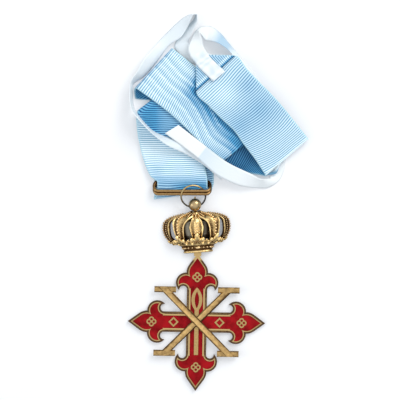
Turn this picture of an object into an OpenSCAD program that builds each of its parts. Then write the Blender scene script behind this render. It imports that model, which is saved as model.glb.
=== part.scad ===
// Neck badge lying face up: an enamelled cross fleury with a saltire and a crown,
// hung by a ball, a jump ring and an oblong wire loop from a folded ribbed ribbon
// with two white tie tapes. Millimetres; X to the right, Y towards the ribbon, Z up.

/* [Cross] */
// Tip to tip of the cross
cross_span = 60.4; // [59:0.2:62]
// Width of each arm over its rims
arm_w = 8.9; // [8.4:0.1:9.4]
// Thickness of the back plate under the enamel
plate_t = 1; // [0.8:0.1:1.2]
// Height of the dull outer border
border_h = 1.5; // [1.3:0.1:1.6]
// Height of the bright rim round the enamel
rim_h = 2; // [1.9:0.05:2.1]
// Height of the enamel
enamel_h = 1.75; // [1.6:0.05:1.85]
// Turn of the cross as it lies
cross_turn = -1; // [-2:0.5:2]

/* [Saltire] */
// Half width over the end bars, to their middles
saltire_half = 13.95; // [13.5:0.05:14.4]
// Width of the diagonal bars
saltire_bar_w = 3; // [2.6:0.1:3.3]
// Length of the end bars
saltire_end_l = 9.5; // [9:0.1:10]
// Thickness of the under bar
saltire_t = 1; // [0.8:0.1:1.2]

/* [Crown] */
// Half width at the widest of the arches
crown_r = 14.3; // [14:0.1:14.6]
// Rise of the crown's front for each millimetre of half width
crown_swell = 0.36; // [0.32:0.01:0.38]
// Turn of the crown as it lies
crown_turn = 4; // [3:0.5:5]
// Diameter of the ball on top
ball_d = 5.6; // [5.4:0.1:5.7]

/* [Ring and loop] */
// Wire of the jump ring
ring_wire = 0.75; // [0.6:0.05:0.8]
// Wire of the double-wound ribbon loop
loop_wire = 1.05; // [0.9:0.05:1.1]

/* [Ribbon and tapes] */
// Thickness of the ribbon
ribbon_t = 1; // [0.9:0.05:1]
// Thickness of the tie tapes
tape_t = 1; // [0.8:0.05:1]

/* [Hidden] */
$fn = 64;

// Where the middle of the cross lies when the whole badge is centred on the origin
cross_at = [-9.6, -52.88];
// Clearance between pieces that sit in each other
fit = 0.04;

// Finials of the cross, measured outwards along an arm and across it
petal_r = 5.72;
petal_off = 1;
petal_slope = 36;
petal_tip = cross_span / 2;
petal_steps = 12;
petal_x = petal_tip - petal_r * sin(petal_slope)
    - (petal_r * cos(petal_slope) - petal_off) / tan(petal_slope);
lobe_at = [17.3, 4.93];
lobe_r = 4.4;
curl_at = [14.2, 6.1];
curl_r = 1.7;
// Insets of the rim's outer and inner edges, and what they gain along the arms
rim_out = 0.8;
rim_in = 1.2;
rim_out_arm = 0.2;
rim_in_arm = 0.45;
// Neck between the top petal and the crown
neck_w = 3.2;
neck_from = 26.5;
neck_to = 33;
neck_step = 31.2;
neck_h = 2.1;

// Gilt staff and small ornaments set into the enamel
pocket_z = 1.4;
staff_w = 1.85;
staff_foot = -14.4;
staff_head = [4.4, 15.3];
staff_head_half = 2.4;
staff_slot_half = 0.95;
staff_slot = [6.1, 13.5];
rosette_out = 19.8;
lozenge_out = 10.1;
ornament_r = 1.15;
ornament_off = 1.05;
ornament_bore = 0.55;
lozenge_side = 3.2;
lozenge_hole = 1.9;

// Saltire laid over the cross
saltire_z = rim_h + 0.08;
saltire_end_w = 2.65;
saltire_chamfer = 0.5;
saltire_over = 0.4;
saltire_mid = [0, 0.3];

// Crown: its own frame starts at the middle of the circlet's foot, with the height along Y
crown_at = [0.8, 30.6];
crown_back = 0.75;
crown_wall = 0.9;
crown_rim = 0.35;
circlet_lift = 0.6;
pearl_r = 0.45;
knob_at = [0, 16.7, 1.8];
knob_r = 1.7;

// Profile of an arch, one row for each section
// half width / height above the foot / width of the arch against its widest
ARCH = [
    [9.2, 4.2, 0.6],
    [11.2, 5.6, 0.65],
    [12.9, 7, 0.75],
    [13.9, 8.9, 0.9],
    [14.3, 11, 1],
    [14.1, 13.2, 0.95],
    [13.2, 14.8, 0.85],
    [11.2, 16.2, 0.75],
    [8.6, 17.1, 0.75],
    [6, 17.7, 0.9],
    [3.6, 18.1, 1.1],
    [1.6, 18.3, 1.4]];
// Arches, one row for each: angle round the crown / half width in degrees / angle of its pearls
ARCHES = [
    [-73, 16.5, -88],
    [-33.5, 9.5, -39],
    [0, 13.5, 0],
    [33.5, 9.5, 39],
    [73, 16.5, 88]];
// Profile of the circlet: half width / height / depth inside the outer face
CIRCLET = [
    [5.9, 0, 0],
    [6.5, 0.2, 0],
    [6.5, 0.9, 0],
    [6.2, 1.1, 0],
    [7.6, 3.4, 0],
    [8.5, 3.6, 0],
    [9.5, 4.2, 0],
    [9.5, 4.8, 0],
    [9.5, 4.8, 1],
    [7.6, 3.4, 1],
    [6.2, 1.1, 1],
    [5.9, 0, 1]];
// Leaves that stand on the circlet: angle round the crown / size
LEAVES = [[-70, 0.9], [-52, 0.6], [-34, 1], [-17, 0.6], [0, 1.15],
    [17, 0.6], [34, 1], [52, 0.6], [70, 0.9]];
// Jewels on the circlet: angle round the crown / half length / half height
JEWELS = [[-66, 0.7, 0.5], [-45, 1, 0.55], [-22, 0.55, 0.5], [0, 1.1, 0.55],
    [22, 0.55, 0.5], [45, 1, 0.55], [66, 0.7, 0.5]];

// Ball, ring and loop, measured from the middle of the cross
ball_at = [-0.65, 51.6, 2.9];
ball_nib_r = 0.35;
ball_nib = 3.5;
ball_bore = 1.8;
bore_at = [0, -0.64, 0.1];
bore_turn = [0, 98.7, 8.5];
ring_at = [-1.4, 55.3, 4.18];
ring_half = [5.35, 4.75];
ring_slope = [-0.1875, 0.238];
loop_left = -16.9;
loop_right = 4.4;
loop_end = 1.7;
loop_mid_y = 59.7;
loop_half_y = 2.1;
loop_front_z = [4.15, 5];
loop_rear_z = 1.62;
loop_turn_y = -1.55;
loop_turn_z = -0.1;

// Ribbon, one row for each ruling across it, from the middle of the cross:
// edge 1 x, y, height / edge 2 x, y, height / height after the fold, or 0 where it runs on
RIBBON = [
    [-0.3, 116.2, 5.15, 1, 117.4, 5.15, 0],
    [-0.1, 101.1, 5.15, 16.9, 116.9, 5.15, 0],
    [5.5, 94.7, 5.3, 22.2, 110.9, 5.3, 0],
    [11.2, 88.9, 5.15, 28.4, 104.5, 5.15, 0],
    [16.4, 84, 5.35, 33.4, 99.4, 5.35, 0],
    [20.9, 77.7, 5.15, 38.4, 93.8, 5.15, 0],
    [25.3, 72, 4.5, 43.6, 87.3, 4.5, 0],
    [30.6, 64.1, 3, 49.4, 80.2, 3, 1.65],
    [19.1, 66.2, 1.65, 37.2, 84.7, 1.65, 0],
    [3.7, 77, 1.6, 21.8, 94.6, 1.65, 0],
    [-10.8, 87.1, 1.55, 8.1, 104.7, 1.65, 0],
    [-26, 93.2, 1.65, -4.2, 109.8, 1.65, 2.85],
    [-26.4, 88.9, 2.85, -1.5, 95.5, 2.85, 0],
    [-25.8, 82.2, 2.35, 0, 85.4, 2.85, 0],
    [-24.8, 77.5, 1.7, 1.2, 79.2, 2.65, 0],
    [-24.3, 75, 1.7, 1.8, 75.8, 1.95, 0],
    [-23.5, 72.1, 1.7, 2.6, 72.2, 1.75, 0],
    [-20.2, 64.2, 2.1, 4.4, 64.9, 2, 0],
    [-17.2, 61.4, 2.95, 4.8, 61.6, 2.9, 0],
    [-17.2, 57.2, 2.85, 4.8, 59.4, 2.85, 0],
    [-18.7, 53.7, 2.85, 6.4, 57, 2.85, 0.5],
    [-18.5, 58.1, 0.5, 7.6, 61.2, 0.5, 0],
    [-18.5, 64.2, 0.5, 7.6, 67.8, 0.5, 0],
    [-24.2, 85.4, 0.5, 0.7, 92.4, 0.5, 0],
    [-26.1, 97.2, 0.5, -5.5, 110.9, 0.5, 0],
    [-27.2, 103, 0.5, -11, 120.5, 0.5, 4],
    [-20, 97.5, 4, -4.4, 115.3, 4, 0],
    [-12.5, 91.3, 4.1, 2.2, 110, 4.1, 0],
    [-5.2, 85.5, 3.95, 9.9, 103.8, 3.95, 0],
    [3.7, 78.5, 4, 19.1, 96.8, 4, 0],
    [12.8, 71.5, 3.95, 32.1, 86.3, 3.95, 2.8],
    [9.9, 82.7, 2.8, 31.5, 92, 2.8, 0],
    [6.6, 94.2, 2.8, 30.1, 99.6, 2.8, 0],
    [14.3, 107.8, 2.8, 17.2, 108.2, 2.8, 0]];
fold_steps = 6;

// Tie tapes, one row for each ruling: edge 1 x, y, height / edge 2 x, y, height
TAPE_LONG = [
    [7.4, 105.4, 6.4, 12.5, 109.9, 6.4],
    [-0.2, 113.2, 6.4, 5.5, 116.9, 6.4],
    [-3.7, 119.7, 5.7, 3.1, 121, 6.2],
    [-2, 124.7, 3.8, 2.4, 124.1, 7.2],
    [0.2, 128, 1.7, 1.3, 127.2, 7.5],
    [2.9, 129.6, 1, 2.6, 126.7, 6.6],
    [6.4, 129.4, 0.8, 4.4, 124.1, 4.4],
    [10.3, 126.5, 0.7, 6.2, 121.2, 1.3],
    [16.3, 119.4, 0.6, 11, 115, 0.6],
    [27.1, 106.5, 0.52, 22, 101.9, 0.52],
    [34.5, 92, 0.52, 28.8, 88.4, 0.52],
    [38.7, 80.5, 0.52, 32.1, 79.4, 0.52],
    [39.4, 73.5, 0.52, 32.8, 73.5, 0.52],
    [38.7, 67.8, 0.55, 32.3, 68.2, 0.6],
    [36.5, 62.5, 0.6, 32.3, 63.2, 1.3],
    [29.9, 58.9, 0.8, 29, 62.8, 4.2],
    [21.8, 59.4, 2.2, 24, 65.1, 4.4],
    [11.2, 63.3, 4, 13.9, 70, 4.5],
    [-1.1, 73.4, 4.9, 2.9, 78.2, 4.7],
    [-14.1, 83.1, 5, -8.1, 86.7, 4.8]];
TAPE_SHORT = [
    [14.1, 100.5, 1.65, 20.7, 102.1, 1.65],
    [11.7, 108.2, 1.65, 17.8, 110.9, 1.65],
    [3.7, 111.3, 2.2, 7.3, 117.3, 2.2],
    [-5.5, 115.7, 2, 0.2, 119.9, 2.2],
    [-9.7, 121.4, 0.75, -3.5, 123, 2.2],
    [-7.5, 125.6, 0.6, -2.6, 125.4, 4],
    [-4.2, 130, 0.5, -1.1, 128.7, 5.4],
    [-1.1, 133.3, 0.4, 0.4, 132.6, 6.3],
    [-0.4, 135.2, 0.4, 0.2, 134.9, 6.6],
    [-2, 135.4, 0.4, -1.3, 134.8, 6.5],
    [-4.4, 134.6, 0.4, -2.4, 132.9, 6.2],
    [-8.2, 131.9, 0.5, -3.9, 129.6, 4.8],
    [-11.9, 128.3, 0.6, -7, 124.9, 3.6],
    [-15.8, 124.3, 0.8, -11.7, 122, 1.8],
    [-19.4, 119.9, 2.6, -15.5, 117, 0.7],
    [-23.3, 115.1, 5, -19.1, 112.3, 0.6],
    [-26, 110, 6.3, -22.9, 108.1, 0.5],
    [-29, 104.5, 7.1, -28, 103.8, 0.4],
    [-29.3, 99.4, 7.4, -28, 99.4, 0.7],
    [-28.8, 94.6, 8.7, -27.5, 94.8, 2],
    [-27.3, 90.8, 10.1, -26, 91.9, 3.6],
    [-25.3, 88, 10.2, -23.6, 89.3, 3.7],
    [-19.8, 81.4, 9.4, -18.1, 82.7, 3.1],
    [-12.5, 75.9, 7, -9, 79.2, 3.35],
    [-4.6, 72.2, 3.6, 0.2, 77.3, 3.4],
    [2.9, 67.5, 3.05, 7.3, 72.9, 3.1],
    [10.8, 61.6, 2, 15.1, 67.1, 2.8]];
tape_steps = 3;

// General geometry

function unit(v) = v / norm(v);

// Point on the smooth curve through four values, between the second and the third
function through(a, b, c, d, t) = b + 0.5 * t * (c - a
    + t * (2 * a - 5 * b + 4 * c - d + t * (3 * (b - c) + d - a)));

// Rows of a table with steps extra rows worked out smoothly between each pair
function smooth_rows(table, steps) = let (last = len(table) - 1) [
    for (i = [0:last - 1], k = [0:steps - 1])
        through(table[max(i - 1, 0)], table[i], table[i + 1], table[min(i + 2, last)], k / steps),
    table[last]];

// Rulings of a fold: half a turn about the fold line, with the edges running on at their slant
function fold_rulings(before, row, after, wall) = let (
    a = [row[0], row[1]],
    b = [row[3], row[4]],
    axis = unit(b - a),
    side = [-axis[1], axis[0]],
    from_a = [before[0], before[1]],
    from_b = [before[3], before[4]],
    to_a = [after[0], after[1]],
    to_b = [after[3], after[4]],
    inward = side * sign(side * (from_a + from_b - a - b)),
    r = abs(row[6] - row[2]) / 2,
    slant_a = [slant(a - from_a, axis, -inward), slant(to_a - a, axis, inward)],
    slant_b = [slant(b - from_b, axis, -inward), slant(to_b - b, axis, inward)]) [
    for (k = [0:fold_steps]) let (
        turn = 180 * k / fold_steps,
        late = turn > 90 ? 1 : 0,
        along = r * (turn - 90) * PI / 180,
        shift = inward * (wall / 2 + r * (1 - sin(turn))),
        z = (row[2] + row[6]) / 2 - (row[6] - row[2]) / 2 * cos(turn),
        pa = a + shift + axis * along * slant_a[late],
        pb = b + shift + axis * along * slant_b[late])
        [[pa[0], pa[1], z], [pb[0], pb[1], z]]];

// How far an edge drifts along the fold line for each millimetre across it, within bounds
function slant(step, axis, across) = let (d = step * across)
    abs(d) < 0.5 ? 0 : max(-1, min(1, step * axis / d));

// The ruling that a row of a table states
function ruling(row) = [[row[0], row[1], row[2]], [row[3], row[4], row[5]]];

// Rulings of the ribbon: each row that states a height after a fold becomes that fold
function ribbon_rulings(table, wall) = [
    for (i = [0:len(table) - 1], r = table[i][6] == 0
        ? [ruling(table[i])]
        : fold_rulings(table[i - 1], table[i], table[i + 1], wall)) r];

function tape_rulings(table) = [for (r = smooth_rows(table, tape_steps)) ruling(r)];

// Closed band of triangles between rings of points, with flat ends
function band_faces(rings, n) = concat(
    [for (i = [0:rings - 2], j = [0:n - 1]) let (k = (j + 1) % n)
        [i * n + j, (i + 1) * n + j, (i + 1) * n + k]],
    [for (i = [0:rings - 2], j = [0:n - 1]) let (k = (j + 1) % n)
        [i * n + j, (i + 1) * n + k, i * n + k]],
    [[for (j = [0:n - 1]) j]],
    [[for (j = [n - 1:-1:0]) (rings - 1) * n + j]]);

// The same faces with their fronts on the other side
function turned_over(faces) = [for (f = faces) [for (q = [len(f) - 1:-1:0]) f[q]]];

// Wall of even thickness about a list of rulings
module strip(rulings, wall) {
    last = len(rulings) - 1;
    mids = [for (r = rulings) (r[0] + r[1]) / 2];
    points = [for (i = [0:last]) let (
        a = rulings[i][0],
        b = rulings[i][1],
        ahead = mids[min(i + 1, last)] - mids[max(i - 1, 0)],
        n = unit(cross(b - a, ahead)) * wall / 2)
        each [a + n, b + n, b - n, a - n]];
    polyhedron(points, band_faces(last + 1, 4), convexity = 10);
}

// Round wire along a list of points; closed when its ends meet
module wire(path, d, sides, closed) {
    count = len(path);
    points = [for (i = [0:count - 1]) let (
        ahead = closed
            ? path[(i + 1) % count] - path[(i + count - 1) % count]
            : path[min(i + 1, count - 1)] - path[max(i - 1, 0)],
        u = unit(cross(ahead, [0, 0, 1])),
        v = unit(cross(u, ahead)))
        each [for (j = [0:sides - 1]) let (t = 360 * j / sides)
            path[i] + (u * cos(t) + v * sin(t)) * d / 2]];
    faces = closed
        ? [for (i = [0:count - 1], j = [0:sides - 1]) let (k = (j + 1) % sides, m = (i + 1) % count)
            each [[i * sides + j, m * sides + k, m * sides + j],
                [i * sides + j, i * sides + k, m * sides + k]]]
        : turned_over(band_faces(count, sides));
    polyhedron(points, faces, convexity = 10);
}

// Cross

module petal_2d(inset) {
    r = petal_r - inset;
    foot = 180 - asin(petal_off / r);
    shoulder = 90 - petal_slope;
    side = [for (k = [0:petal_steps]) let (t = foot + (shoulder - foot) * k / petal_steps)
        [petal_x + r * cos(t), petal_off - r * sin(t)]];
    other = [for (k = [petal_steps:-1:1]) [side[k][0], -side[k][1]]];
    polygon(concat(side, [[petal_tip - inset / sin(petal_slope), 0]], other));
}

module lobe_2d(inset) {
    cut = curl_r + inset;
    difference() {
        translate(lobe_at) circle(lobe_r - inset);
        translate(curl_at) circle(cut);
        translate([curl_at[0] - 2 * cut, curl_at[1] - cut]) square(2 * cut);
    }
}

// Outline of the cross, drawn in from its edge; the arms may be drawn in further
module cross_2d(inset, arm_extra) {
    half = arm_w / 2 - inset - arm_extra;
    for (turn = [0, 90, 180, 270]) rotate(turn) {
        translate([0, -half]) square([petal_x, 2 * half]);
        petal_2d(inset);
        lobe_2d(inset);
        mirror([0, 1]) lobe_2d(inset);
    }
}

module on_cross() {
    translate([cross_at[0], cross_at[1], 0]) rotate(cross_turn) children();
}

module cross() {
    color("darkgoldenrod") on_cross() {
        linear_extrude(plate_t) cross_2d(0, 0);
        linear_extrude(border_h) difference() {
            cross_2d(0, 0);
            cross_2d(rim_in, rim_in_arm);
        }
        linear_extrude(rim_h) difference() {
            cross_2d(rim_out, rim_out_arm);
            cross_2d(rim_in, rim_in_arm);
        }
        translate([-neck_w / 2, petal_tip - 1.2, 0]) cube([neck_w, neck_to - petal_tip + 1.2, border_h]);
        translate([-neck_w / 2, neck_step, 0]) cube([neck_w, neck_to - neck_step, neck_h]);
    }
}

// Pointed oval between two heights, as wide as twice its half
module lancet_2d(from, to, half) {
    tall = (to - from) / 2;
    r = (half * half + tall * tall) / (2 * half);
    translate([0, (from + to) / 2]) intersection() {
        translate([r - half, 0]) circle(r);
        translate([half - r, 0]) circle(r);
    }
}

module staff_2d(grow) {
    difference() {
        union() {
            lancet_2d(staff_head[0] - grow, staff_head[1] + grow, staff_head_half + grow);
            translate([-staff_w / 2 - grow, staff_foot - grow])
                square([staff_w + 2 * grow, staff_head[0] + 1.6 - staff_foot + grow]);
        }
        lancet_2d(staff_slot[0] + grow, staff_slot[1] - grow, staff_slot_half - grow);
    }
}

module rosette_2d(grow) {
    difference() {
        for (turn = [0:90:270]) rotate(turn) translate([ornament_off, 0]) circle(ornament_r + grow);
        for (turn = [0:90:270]) rotate(turn) translate([ornament_off, 0]) circle(ornament_bore - grow);
    }
}

module lozenge_2d(grow) {
    rotate(45) difference() {
        square(lozenge_side + 2 * grow, center = true);
        square(lozenge_hole - 2 * grow, center = true);
    }
}

// Raised ornament that sits in its pocket in the enamel
module set_in() {
    on_cross() translate([0, 0, pocket_z + fit]) linear_extrude(rim_h - pocket_z - fit) children();
}

module ornaments_2d(grow) {
    staff_2d(grow);
    for (turn = [0:90:270]) rotate(turn) translate([rosette_out, 0]) rosette_2d(grow);
    for (x = [-lozenge_out, lozenge_out]) translate([x, 0]) lozenge_2d(grow);
}

module enamel() {
    color("firebrick") on_cross() difference() {
        translate([0, 0, plate_t + fit]) linear_extrude(enamel_h - plate_t - fit)
            cross_2d(rim_in + fit, rim_in_arm);
        translate([0, 0, pocket_z]) linear_extrude(rim_h) ornaments_2d(fit);
    }
}

module staff() {
    color("goldenrod") set_in() staff_2d(0);
}

module rosette(turn) {
    color("goldenrod") set_in() rotate(turn) translate([rosette_out, 0]) rosette_2d(0);
}

module lozenge(x) {
    color("goldenrod") set_in() translate([x, 0]) lozenge_2d(0);
}

// Flat-topped bar with sloped edges, lying along X
module bar(long, wide, tall) {
    c = saltire_chamfer;
    rotate([90, 0, 90]) translate([0, 0, -long / 2]) linear_extrude(long)
        polygon([[-wide / 2, 0], [wide / 2, 0], [wide / 2, tall - c], [wide / 2 - c, tall],
            [c - wide / 2, tall], [-wide / 2, tall - c]]);
}

module saltire() {
    reach = saltire_half + saltire_end_w / 2 - saltire_mid[1] / 2;
    color("goldenrod") on_cross() translate([saltire_mid[0], saltire_mid[1], saltire_z]) {
        intersection() {
            union() {
                rotate(45) bar(4 * saltire_half, saltire_bar_w, saltire_t);
                rotate(-45) bar(4 * saltire_half, saltire_bar_w, saltire_t + saltire_over);
            }
            translate([-2 * reach, -reach, -1]) cube([4 * reach, 2 * reach, 4]);
        }
        for (x = [-1, 1], y = [-1, 1])
            translate([x * saltire_half, y * saltire_half, 0]) bar(saltire_end_l, saltire_end_w, saltire_t);
    }
}

// Crown

// Outward direction of the arch profile at a row, in half width and height
function arch_out(i) = let (
    a = ARCH[max(i - 1, 0)],
    b = ARCH[min(i + 1, len(ARCH) - 1)])
    unit([b[1] - a[1], a[0] - b[0]]);

// Point on the crown's face at a row of the arch profile, turned round it and stood off it
function arch_point(i, turn, off) = let (
    n = arch_out(i),
    r = ARCH[i][0] * crown_r / 14.3)
    [(r + off * n[0]) * sin(turn), ARCH[i][1] + off * n[1],
        crown_back + (crown_swell * r + off * n[0]) * cos(turn)];

// Arch with two raised edges
module arch(at, half) {
    points = [for (i = [0:len(ARCH) - 1]) let (w = half * ARCH[i][2])
        each [arch_point(i, at - w, crown_rim),
            arch_point(i, at - 0.7 * w, crown_rim),
            arch_point(i, at - 0.6 * w, 0),
            arch_point(i, at + 0.6 * w, 0),
            arch_point(i, at + 0.7 * w, crown_rim),
            arch_point(i, at + w, crown_rim),
            arch_point(i, at + w, -crown_wall),
            arch_point(i, at - w, -crown_wall)]];
    polyhedron(points, band_faces(len(ARCH), 8), convexity = 10);
}

module circlet() {
    turns = [for (t = [-90:12:90]) t];
    points = [for (t = turns) each [for (p = CIRCLET)
        [(p[0] - p[2]) * sin(t), p[1], crown_back + (crown_swell * p[0] + circlet_lift - p[2]) * cos(t)]]];
    polyhedron(points, turned_over(band_faces(len(turns), len(CIRCLET))), convexity = 10);
}

// Puts a small form on the circlet's face, with its own Z pointing out of it
module on_face(r, h, turn) {
    rise = crown_swell * r + circlet_lift;
    lean = atan2(rise * sin(turn), r * cos(turn));
    translate([r * sin(turn), h, crown_back + rise * cos(turn)]) rotate([0, lean, 0]) children();
}

// Leaf of three rounded lobes
module leaf(size) {
    for (spread = [-52, 0, 52]) hull() {
        sphere(0.5 * size, $fn = 6);
        rotate(spread) translate([0, 1.7 * size, 0.5 * size]) sphere(0.65 * size, $fn = 6);
    }
}

module crown() {
    color("goldenrod") translate([cross_at[0] + crown_at[0], cross_at[1] + crown_at[1], 0])
        rotate(crown_turn) {
            circlet();
            for (a = ARCHES) arch(a[0], a[1]);
            for (a = ARCHES, i = [2:len(ARCH) - 3])
                translate(arch_point(i, a[2] * (abs(a[2]) > 60 ? 1 : ARCH[i][2]), 0.1)) sphere(pearl_r, $fn = 6);
            for (l = LEAVES) on_face(9.6, 5.1, l[0]) leaf(l[1]);
            for (j = JEWELS) on_face(7.1, 2.3, j[0]) resize([2 * j[1], 2 * j[2], 0.9]) sphere(1, $fn = 8);
            translate(knob_at) sphere(knob_r, $fn = 12);
        }
}

// Ball, ring and loop

module from_cross() {
    translate([cross_at[0], cross_at[1], 0]) children();
}

module crown_ball() {
    r = ball_d / 2;
    color("gold") from_cross() translate(ball_at) difference() {
        union() {
            rotate(-90) sphere(r);
            translate([0, 0.8 * r, 0]) rotate([-90, 0, 0]) cylinder(r = ball_nib_r, h = ball_nib - 0.8 * r);
        }
        translate(bore_at) rotate(bore_turn) cylinder(d = ball_bore, h = 4 * r, center = true);
    }
}

module jump_ring() {
    path = [for (t = [0:10:350]) let (
        x = ring_half[0] * cos(t),
        y = ring_half[1] * sin(t))
        ring_at + [x, y, ring_slope[0] * x + ring_slope[1] * y]];
    color("tan") from_cross() wire(path, ring_wire, 10, true);
}

// Place on the loop: part turns clockwise seen from above, 0 at the middle of the rear run
function loop_front(x) = let (t = (x - loop_left) / (loop_right - loop_left))
    loop_front_z[0] + (loop_front_z[1] - loop_front_z[0]) * t;

// Point at angle turn of an end arc, on the left (side -1) or the right (side 1), for winding w
function loop_arc(side, turn, w) = let (
    x0 = side < 0 ? loop_left : loop_right,
    front = loop_front(x0),
    nearness = (1 + cos(turn)) / 2)
    [x0 + side * loop_end * sin(turn),
        loop_mid_y - loop_half_y * cos(turn) + loop_turn_y * w,
        loop_rear_z + (front + loop_turn_z * w - loop_rear_z) * nearness];

module ribbon_loop() {
    turns = [for (t = [180:-22.5:0]) t];
    back = [for (t = [0:22.5:180]) t];
    path = concat(
        [[-9, loop_mid_y + loop_half_y, loop_rear_z]],
        [for (t = turns) loop_arc(-1, t, 0)],
        [for (t = back) loop_arc(1, t, 0)],
        [[-3.5, loop_mid_y + loop_half_y, loop_rear_z],
            [-7.5, loop_mid_y + loop_half_y + loop_turn_y, loop_rear_z]],
        [for (t = turns) loop_arc(-1, t, 1)],
        [for (t = back) loop_arc(1, t, 1)],
        [[-1.5, loop_mid_y + loop_half_y + loop_turn_y, loop_rear_z]]);
    color("peru") from_cross() wire(path, loop_wire, 10, false);
}

// Ribbon and tapes

module ribbon() {
    color("lightskyblue") from_cross() strip(ribbon_rulings(RIBBON, ribbon_t), ribbon_t);
}

module tie_tape_long() {
    color("aliceblue") from_cross() strip(tape_rulings(TAPE_LONG), tape_t);
}

module tie_tape_short() {
    color("aliceblue") from_cross() strip(tape_rulings(TAPE_SHORT), tape_t);
}

cross();
enamel();
staff();
rosette(90);  // rosette_top
rosette(180);  // rosette_left
rosette(0);  // rosette_right
rosette(270);  // rosette_bottom
lozenge(-lozenge_out);  // lozenge_left
lozenge(lozenge_out);  // lozenge_right
saltire();
crown();
crown_ball();
jump_ring();
ribbon_loop();
ribbon();
tie_tape_long();
tie_tape_short();
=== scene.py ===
# %% [markdown]
# # A neck badge on its folded ribbon
#
# The badge lies face up: a red enamelled cross with a gilt saltire, a hollow crown with a
# ball, a thin ring, an oblong loop of wire, and a pale blue ribbed ribbon with white tapes.
# Hard pieces with plain outlines keep their solids and get a finish here. The crown, the
# wires and all the cloth are made again as finer surfaces in the same places.

# %% Load the solid model
import bpy
from functools import partialmethod
import numpy as np
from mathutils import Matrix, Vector


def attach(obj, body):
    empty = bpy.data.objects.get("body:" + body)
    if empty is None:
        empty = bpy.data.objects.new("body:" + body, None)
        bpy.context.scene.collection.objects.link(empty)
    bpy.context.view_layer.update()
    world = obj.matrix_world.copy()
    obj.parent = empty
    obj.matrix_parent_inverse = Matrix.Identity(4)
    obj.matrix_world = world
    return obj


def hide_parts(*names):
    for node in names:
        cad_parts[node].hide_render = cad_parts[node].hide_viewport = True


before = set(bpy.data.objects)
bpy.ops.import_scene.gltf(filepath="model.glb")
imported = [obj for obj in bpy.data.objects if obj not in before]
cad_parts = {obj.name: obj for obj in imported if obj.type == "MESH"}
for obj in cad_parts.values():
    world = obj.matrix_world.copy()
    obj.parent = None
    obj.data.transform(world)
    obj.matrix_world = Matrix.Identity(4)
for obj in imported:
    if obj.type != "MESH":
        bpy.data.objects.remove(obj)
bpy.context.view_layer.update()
print("solids:", len(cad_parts))

# %% [markdown]
# ## Measures
#
# All tables of places are in millimetres from the middle of the cross, with Y towards the
# ribbon. One function takes such points to metres in the model's own frame. The finishes,
# the lights and the camera use metres.

# %% From badge millimetres to metres
CROSS_MIDDLE = np.array([-9.6, -52.88, 0.0])


def place(points):
    """Badge millimetres to the model's metres: add the cross's place, then divide by a thousand."""
    return (np.asarray(points, float) + CROSS_MIDDLE) / 1000


def unit(v):
    """Each vector divided by its own length."""
    return v / np.maximum(np.linalg.norm(v, axis=-1, keepdims=True), 1e-12)


def bell(distance, reach):
    """exp(-(distance / reach)^2): 1 at no distance, and next to nothing from twice the reach."""
    return np.exp(-((distance / reach) ** 2))


def all_round(count):
    """Even angles once round, from 0."""
    return np.linspace(0, 2 * np.pi, count, endpoint=False)


# %% [markdown]
# ## Surfaces from arrays
#
# Nearly every piece here is a closed loop of points carried along a row of stations: a
# wire's round section, a ribbon's flat one, an arch's moulded one. So one helper joins the
# rows with four-sided faces, closes the ends, and turns the faces outwards by the sign of
# the volume that they enclose.

# %% Faces between rows of points
def loop_faces(rows, loop, closed):
    """Quads between neighbouring rows; each row wraps round, and the rows do too if closed."""
    i = np.arange(rows if closed else rows - 1)[:, None]
    j = np.arange(loop)[None, :]
    a, b = i * loop + j, i * loop + (j + 1) % loop
    c, d = ((i + 1) % rows) * loop + (j + 1) % loop, ((i + 1) % rows) * loop + j
    return np.stack([a, b, c, d], axis=-1).reshape(-1, 4)


def cap_faces(first, loop):
    """An end closed by quads that join point j to its opposite on the folded-flat loop."""
    j = np.arange(loop // 2 - 1)
    return first + np.stack([j, j + 1, loop - 2 - j, loop - 1 - j], axis=-1)


def skin_faces(rows, loop, closed=False):
    """Sides and, for open rows, both ends."""
    sides = loop_faces(rows, loop, closed)
    if closed:
        return sides
    return np.concatenate([sides, cap_faces(0, loop)[:, ::-1], cap_faces((rows - 1) * loop, loop)])


def there_and_back(front, back):
    """Each row of a grid across the front, then backwards across the back, as one loop."""
    return np.concatenate([front, back[:, ::-1]], axis=1)


# %% A mesh object from arrays
def new_object(name, data):
    """An object with this data, in the scene."""
    made = bpy.data.objects.new(name, data)
    bpy.context.collection.objects.link(made)
    return made


def make_piece(name, node, points, faces, finish, uv=None, tone=None):
    """Points in metres and quads become an object at the origin, in place of the solid node;
    uv and tone are per point."""
    points = np.asarray(points, float).reshape(-1, 3)
    p = points[faces]
    volume = np.einsum("ij,ij->i", p[:, 0], np.cross(p[:, 1], p[:, 2])).sum()
    volume += np.einsum("ij,ij->i", p[:, 0], np.cross(p[:, 2], p[:, 3])).sum()
    if volume < 0:
        faces = faces[:, ::-1]
    mesh = bpy.data.meshes.new(name)
    mesh.from_pydata(points, [], faces, shade_flat=False)
    if uv is not None:
        corner_uv = np.reshape(uv, (-1, 2))[faces.ravel()]
        mesh.uv_layers.new(name="cloth").data.foreach_set("uv", corner_uv.ravel())
    if tone is not None:
        mesh.attributes.new("tone", "FLOAT", "POINT").data.foreach_set("value", np.ravel(tone))
    mesh.materials.append(finish)
    piece = new_object(name, mesh)
    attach(piece, "root")
    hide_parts(node)
    print(f"{name}: {len(points)} points, {len(faces)} faces, {abs(volume) / 6 * 1e9:.1f} cubic mm")
    return piece


# %% [markdown]
# Many small forms, such as pearls, are one unit shape copied to many places. The copies
# are made by broadcasting, so a row of beads is one mesh.

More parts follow.
